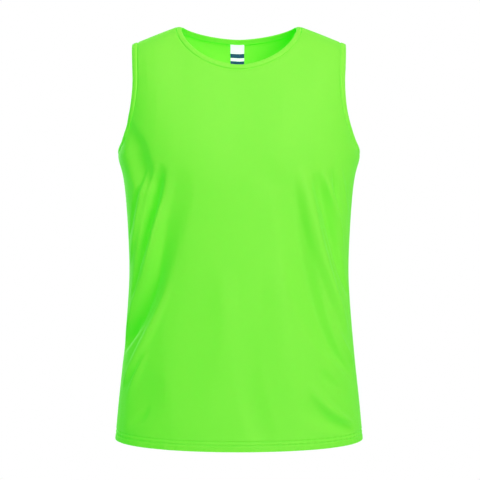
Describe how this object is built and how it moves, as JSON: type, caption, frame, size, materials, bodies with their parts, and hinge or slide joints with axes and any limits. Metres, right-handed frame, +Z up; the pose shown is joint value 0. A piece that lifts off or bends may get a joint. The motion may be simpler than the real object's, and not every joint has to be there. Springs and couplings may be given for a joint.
{
  "type": "sleeveless sports t-shirt",
  "caption": "Sleeveless round-neck sports t-shirt in fluorescent green knit, filled out as worn, hollow, with open neck, armholes and hem.",
  "frame": {"origin": "midway between the two points where the neck opening's edge crosses the shoulder line, where the shirt hangs on its wearer", "axes": "+Z up, the front faces -Y, +X to the wearer's left"},
  "size_m": [0.4232, 0.254, 0.7021],
  "materials": {
    "body_knit": "fluorescent green polyester knit, slight sheen",
    "band_knit": "fluorescent green polyester knit, folded double",
    "label_cloth": "white woven label with plain navy bands"
  },
  "bodies": {
    "root": {"front": "body_knit", "back": "body_knit", "neckband": "band_knit", "armhole_band_left": "band_knit", "armhole_band_right": "band_knit", "neck_label": "label_cloth"}
  },
  "joints": []
}
